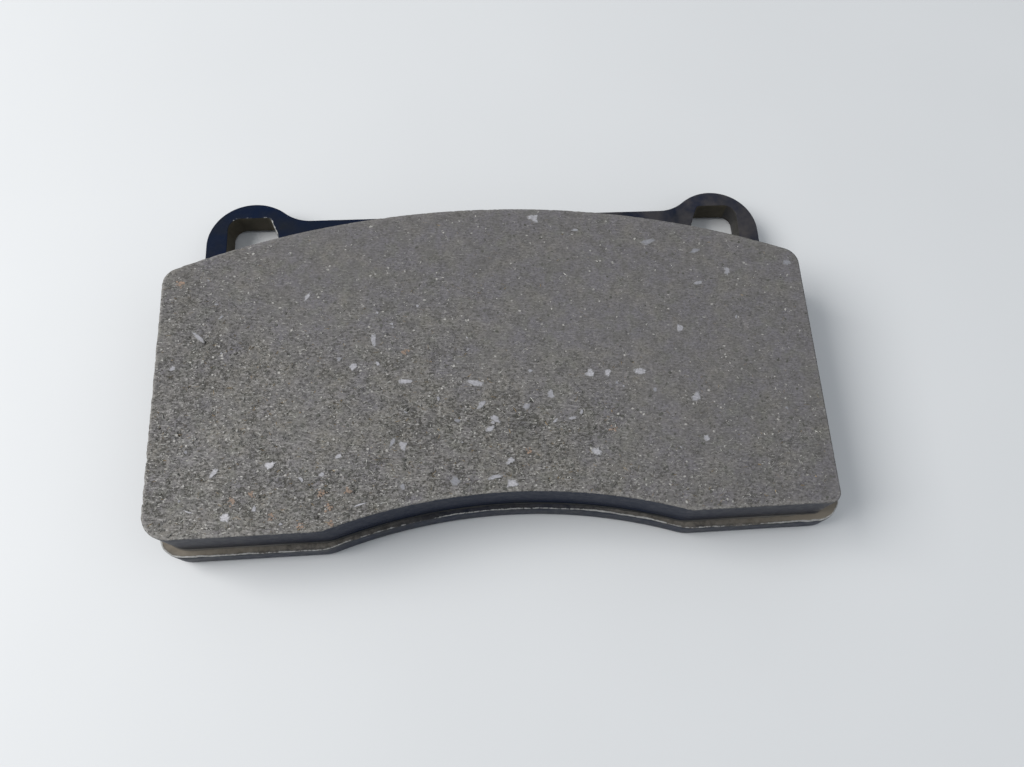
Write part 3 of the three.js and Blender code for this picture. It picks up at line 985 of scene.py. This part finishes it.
def chip(rng, specks, spot, length, width, top, turn, sides, paleness=None):
    """A flat, irregular chip, ground flush: its top is level and its sides go down into the
    matrix. Its paleness from 0 to 1 is random where none is given."""
    angle = (np.arange(sides) + rng.uniform(-0.35, 0.35, sides)) * 2 * math.pi / sides
    lobes = sum(0.12 * np.sin(k * angle + rng.uniform(0, 6)) for k in (2, 3))
    radius = (1 + lobes + rng.uniform(-0.24, 0.24, sides)) / 2
    ring = np.stack([radius * length * np.cos(angle), radius * width * np.sin(angle)], 1)
    c, s = math.cos(turn), math.sin(turn)
    ring = ring @ np.array([[c, s], [-s, c]])
    centre = ring.mean(0)
    points = [with_z(spot + (centre + (ring - centre) * size), top - depth)
              for size, depth, _ in CHIP_RINGS]
    points = np.concatenate(points + [with_z((spot + centre)[None], top)])
    faces = []
    for k in range(len(CHIP_RINGS) - 1):
        faces += band(k * sides, (k + 1) * sides, sides)
    inner = (len(CHIP_RINGS) - 1) * sides
    faces += [(inner + i, inner + (i + 1) % sides, inner + sides) for i in range(sides)]
    faces.append(tuple(range(sides - 1, -1, -1)))
    core = np.concatenate([np.full(sides, clear) for _, _, clear in CHIP_RINGS] + [[1.0]])
    tone = rng.uniform(0, 0.5)
    specks.add(points, faces, tone if paleness is None else paleness, core)


FIBRE_STATIONS = 4  # points along a fibre
FIBRE_DEPTH = 0.10  # how far its foot lies below its ridge


def fibre(rng, specks, spot, length, width, top, lean):
    """A short curved sliver with a ridge along its top, lying mostly across the pad."""
    stations = FIBRE_STATIONS
    t = np.linspace(-0.5, 0.5, stations)
    turn = rng.normal(0, 0.7)
    bend = rng.normal(0, 0.25) * length
    x, y = t * length, bend * (t * t * 4 - 0.5) * 0.5
    c, s = math.cos(turn), math.sin(turn)
    axis = np.stack([x * c - y * s, x * s + y * c], 1) + spot
    side = np.gradient(axis, axis=0)
    side = np.stack([-side[:, 1], side[:, 0]], 1) / np.hypot(*side.T)[:, None]
    half = width / 2 * np.array([0.35, 1, 1, 0.35])[:, None]
    z_top = top + lean * t
    feet = [np.column_stack([axis + way * side * half, z_top - FIBRE_DEPTH]) for way in (1, -1)]
    points = np.concatenate([*feet, np.column_stack([axis, z_top])])
    faces = []
    for i in range(stations - 1):
        a, b, d = i, stations + i, 2 * stations + i
        faces += [(a + 1, a, d, d + 1), (b, b + 1, d + 1, d), (a, a + 1, b + 1, b)]
    last = stations - 1
    faces += [(0, stations, 2 * stations), (last, 3 * stations - 1, 2 * stations - 1)]
    specks.add(points, faces, rng.uniform())


# The most visible pale chips: x, y, length and width in millimetres, the long side's
# direction in degrees, and how pale each one is, from 0 to 1.
BIG_CHIPS = [
    (2, 7, 2.1, 1.7, 17, 0.7), (-4, 27.5, 3.4, 1.4, -8, 0.5), (-50, 3.5, 1.8, 1.7, 0, 0.95),
    (18.5, 12.5, 2.1, 1.6, 120, 0.65), (28.5, 28.5, 2.3, 1.6, 4, 0.55), (-42.5, 13, 1.7, 1.6, 0, 1.0),
    (-17.5, 28.5, 3.3, 1.1, -6, 0.6), (18.5, 28.5, 2.0, 1.6, 150, 0.65), (39, 22.5, 2.2, 1.8, 54, 0.35),
    (-23.5, 37.5, 3.0, 1.1, 93, 0.4), (22, 28.5, 1.9, 1.2, 85, 0.7), (-27.5, 32, 1.8, 1.4, 41, 0.6),
    (-18, 15.5, 1.9, 1.5, 142, 0.5), (-0.5, 20, 2.4, 1.2, 143, 0.45), (-1, 8.5, 2.6, 1.0, 9, 0.4),
    (-52.5, 12, 2.3, 0.9, 57, 0.7), (37.5, 37.5, 1.8, 1.4, 131, 0.4), (-3, 23, 2.1, 1.2, 55, 0.4),
    (-1.5, 18, 1.8, 1.2, 24, 0.5), (2, 11.5, 1.6, 1.2, 40, 0.55), (-57, 39.5, 3.4, 0.9, 140, 0.35),
    (40, 14, 1.5, 1.3, 65, 0.45), (-30, 14, 1.4, 1.1, 7, 0.6), (-36.5, 47.5, 2.0, 0.9, 52, 0.5),
    (9.5, 64, 2.8, 1.8, -9, 0.5), (49, 50, 1.9, 1.4, 100, 0.25), (42.5, 47.5, 2.0, 1.0, 10, 0.25),
    (10.5, 24.5, 1.6, 1.4, 114, 0.3), (5.7, 22.2, 2.0, 1.1, 30, 0.15), (16.2, 20.5, 1.2, 0.8, 60, 0.3),
    (-20, 16.3, 1.9, 1.0, 70, 0.15), (-8.4, 8, 2.3, 1.7, 20, 0.0), (14.4, 19.4, 1.7, 0.8, 15, 0.35),
    (11, 19, 1.2, 0.6, 40, 0.4), (33, 57.5, 3.2, 1.5, 8, 0.05), (18, 60.8, 1.6, 0.7, -10, 0.2),
    (42.8, 55, 2.2, 1.0, 15, 0.0), (62, 51.5, 2.0, 1.4, 0, 0.0), (-44.9, 4.9, 1.3, 0.7, 70, 0.45),
    (-26, 4.6, 2.2, 0.4, 15, 0.7), (-36.7, 10, 1.6, 0.6, 115, 0.5), (-56.6, 5, 1.6, 0.35, -20, 0.8),
]

# Rust stains, most of them near the lower edge.
RUST_SPOTS = [(-31.7, 4.4), (-31.3, 1.4), (-33, 7.4), (-28, 7.5), (5.8, 13.4), (22, 16.9), (-45.4, 7.5),
              (-61.2, 51.4), (-17.5, 34.6), (-49, 6.6), (-42, 3.2), (-36.4, 1.0)]


# Scattered chips lie at this many levels, one step apart, so that tops that overlap differ.
CHIP_LEVELS = 7
CHIP_LEVEL_STEP = 0.0015


def scatter_chips(rng, specks, spots, sizes, top, sides, slimmest=0.5):
    """Chips of random size between the two given. The slim ones lie mostly across the pad."""
    for i, spot in enumerate(spots):
        length = rng.uniform(*sizes)
        width = length * rng.uniform(slimmest, 1.0)
        level = top - CHIP_LEVEL_STEP * (i % CHIP_LEVELS)
        chip(rng, specks, spot, length, width, level, rng.normal(0, 0.6), sides)


def scatter_fibres(rng, specks, spots, longest, widths, top):
    """Fibres about half a millimetre long, a few of them up to the longest."""
    for spot in spots:
        length = min(longest, rng.lognormal(-0.62, 0.5))
        fibre(rng, specks, spot, length, rng.uniform(*widths), top, rng.uniform(-0.02, 0.02))


def rust_stains(rng, specks, top):
    """Small clusters of rusty grains, each cluster about a millimetre across."""
    for spot in RUST_SPOTS:
        near = spot + rng.normal(0, 0.34, (int(rng.integers(10, 17)), 2))
        scatter_chips(rng, specks, near, (0.25, 0.6), top, 7)


# Each kind of grain and fibre: its darkest and lightest colour, roughness and metalness.
GRAIN_LOOKS = {
    "steel_fibre": (rgb(0.22, 0.215, 0.205), rgb(0.66, 0.65, 0.61), 0.40, 0.6),
    "brass_fibre": (rgb(0.22, 0.17, 0.10), rgb(0.40, 0.30, 0.18), 0.42, 0.5),
    "pale_grain": (rgb(0.16, 0.156, 0.15), rgb(0.42, 0.405, 0.38), 0.6, 0.0),
    "dark_grain": (rgb(0.040, 0.040, 0.033), rgb(0.088, 0.086, 0.080), 0.6, 0.0),
    "rust_grain": (rgb(0.150, 0.114, 0.090), rgb(0.275, 0.178, 0.122), 0.7, 0.0),
}
STEEL_FIBRES, BRASS_FIBRES = 4900, 900
SMALL_CHIPS, PALE_GRAINS, DARK_GRAINS = 30, 1550, 1100


def make_aggregate():
    """Everything that is set in the ground face, in one mesh for each kind."""
    rng = np.random.default_rng(7)
    rim = outer_trace(BLOCK)[0]
    high = levels("friction_block")[1]
    chips = Specks()
    grains = {kind: Specks() for kind in GRAIN_LOOKS}
    for x, y, length, width, degrees, paleness in BIG_CHIPS:
        spot = np.array((x, y))
        chip(rng, chips, spot, length, width, high - 0.012, math.radians(degrees), 13, paleness)
    spots = random_spots(rng, SMALL_CHIPS, 1.2, rim, 0.15)
    scatter_chips(rng, chips, spots, (0.5, 1.2), high - 0.015, 10)
    spots = random_spots(rng, STEEL_FIBRES, 0.5, rim, 0.28)
    scatter_fibres(rng, grains["steel_fibre"], spots, 1.7, (0.08, 0.20), high - 0.02)
    spots = random_spots(rng, BRASS_FIBRES, 0.5, rim)
    scatter_fibres(rng, grains["brass_fibre"], spots, 1.2, (0.08, 0.18), high - 0.02)
    spots = random_spots(rng, PALE_GRAINS, 0.3, rim, 0.36)
    scatter_chips(rng, grains["pale_grain"], spots, (0.16, 0.62), high - 0.02, 6, 0.3)
    spots = random_spots(rng, DARK_GRAINS, 0.4, rim)
    scatter_chips(rng, grains["dark_grain"], spots, (0.3, 0.8), high - 0.03, 6, 0.35)
    rust_stains(rng, grains["rust_grain"], high - 0.02)
    chips.make("friction_pale_chips", pale_chip())
    for kind, look in GRAIN_LOOKS.items():
        grains[kind].make(f"friction_{kind}s", grain_material(kind, *look))


# ---- stage ----

FLOOR_HALF = 1.6  # metres from the middle of the floor to its edge
WORLD_COLOR = (0.90, 0.95, 1.0, 1)
WORLD_STRENGTH = 0.55


def make_floor():
    corners = [(x * FLOOR_HALF, y * FLOOR_HALF, 0) for x, y in ((-1, -1), (1, -1), (1, 1), (-1, 1))]
    mesh = bpy.data.meshes.new("floor")
    mesh.from_pydata(corners, [], [(0, 1, 2, 3)])
    floor = link("floor", mesh)
    p = Paint("floor_pale")
    shade = p.mix(p.noise(60.0, 2.0), rgb(0.53, 0.54, 0.55), rgb(0.56, 0.57, 0.58))
    floor.data.materials.append(p.finish(shade, 0.6))


def add_light(name, place, size, power, color):
    """A soft rectangular light that points at the frame's origin."""
    data = bpy.data.lights.new(name, "AREA")
    data.shape = "RECTANGLE"
    data.size, data.size_y = size
    data.energy = power
    data.color = color
    light = link(name, data)
    light.location = place
    light.rotation_euler = (-Vector(place)).to_track_quat("-Z", "Y").to_euler()


def make_lights():
    world = bpy.data.worlds.new("studio")
    bpy.context.scene.world = world
    world.use_nodes = True
    background = world.node_tree.nodes["Background"]
    background.inputs["Color"].default_value = WORLD_COLOR
    background.inputs["Strength"].default_value = WORLD_STRENGTH
    add_light("key", (-0.62, 0.10, 0.62), (0.6, 0.5), 8.8, (1.0, 0.985, 0.965))
    add_light("fill", (0.55, -0.10, 0.75), (0.7, 0.7), 1.3, (0.93, 0.96, 1.0))


# The camera: place in the frame and its axes, with the lens shift of an off-centre crop.
CAMERA_PLACE = Vector((-0.0013, -0.0650, 0.1559))
CAMERA_RIGHT = Vector((0.99614, -0.06874, 0.05467))
CAMERA_FORWARD = Vector((0.07280, 0.29806, -0.95177))
FOCAL_LENGTH = 27.04
SENSOR_WIDTH = 36.0
LENS_SHIFT = (-0.0421, 0.0508)


def make_camera():
    data = bpy.data.cameras.new("camera")
    data.lens = FOCAL_LENGTH
    data.sensor_width = SENSOR_WIDTH
    data.shift_x, data.shift_y = LENS_SHIFT
    data.clip_start = 0.005
    camera = link("camera", data)
    forward = CAMERA_FORWARD.normalized()
    right = (CAMERA_RIGHT - forward * CAMERA_RIGHT.dot(forward)).normalized()
    up = right.cross(forward)
    turned = Matrix((right, up, -forward)).transposed()
    camera.matrix_world = Matrix.Translation(CAMERA_PLACE) @ turned.to_4x4()
    bpy.context.scene.camera = camera


make_camera()
make_floor()
make_lights()
make_friction_block()
make_layers()
make_backing_plate()
make_aggregate()
bpy.context.scene.view_settings.view_transform = "Standard"
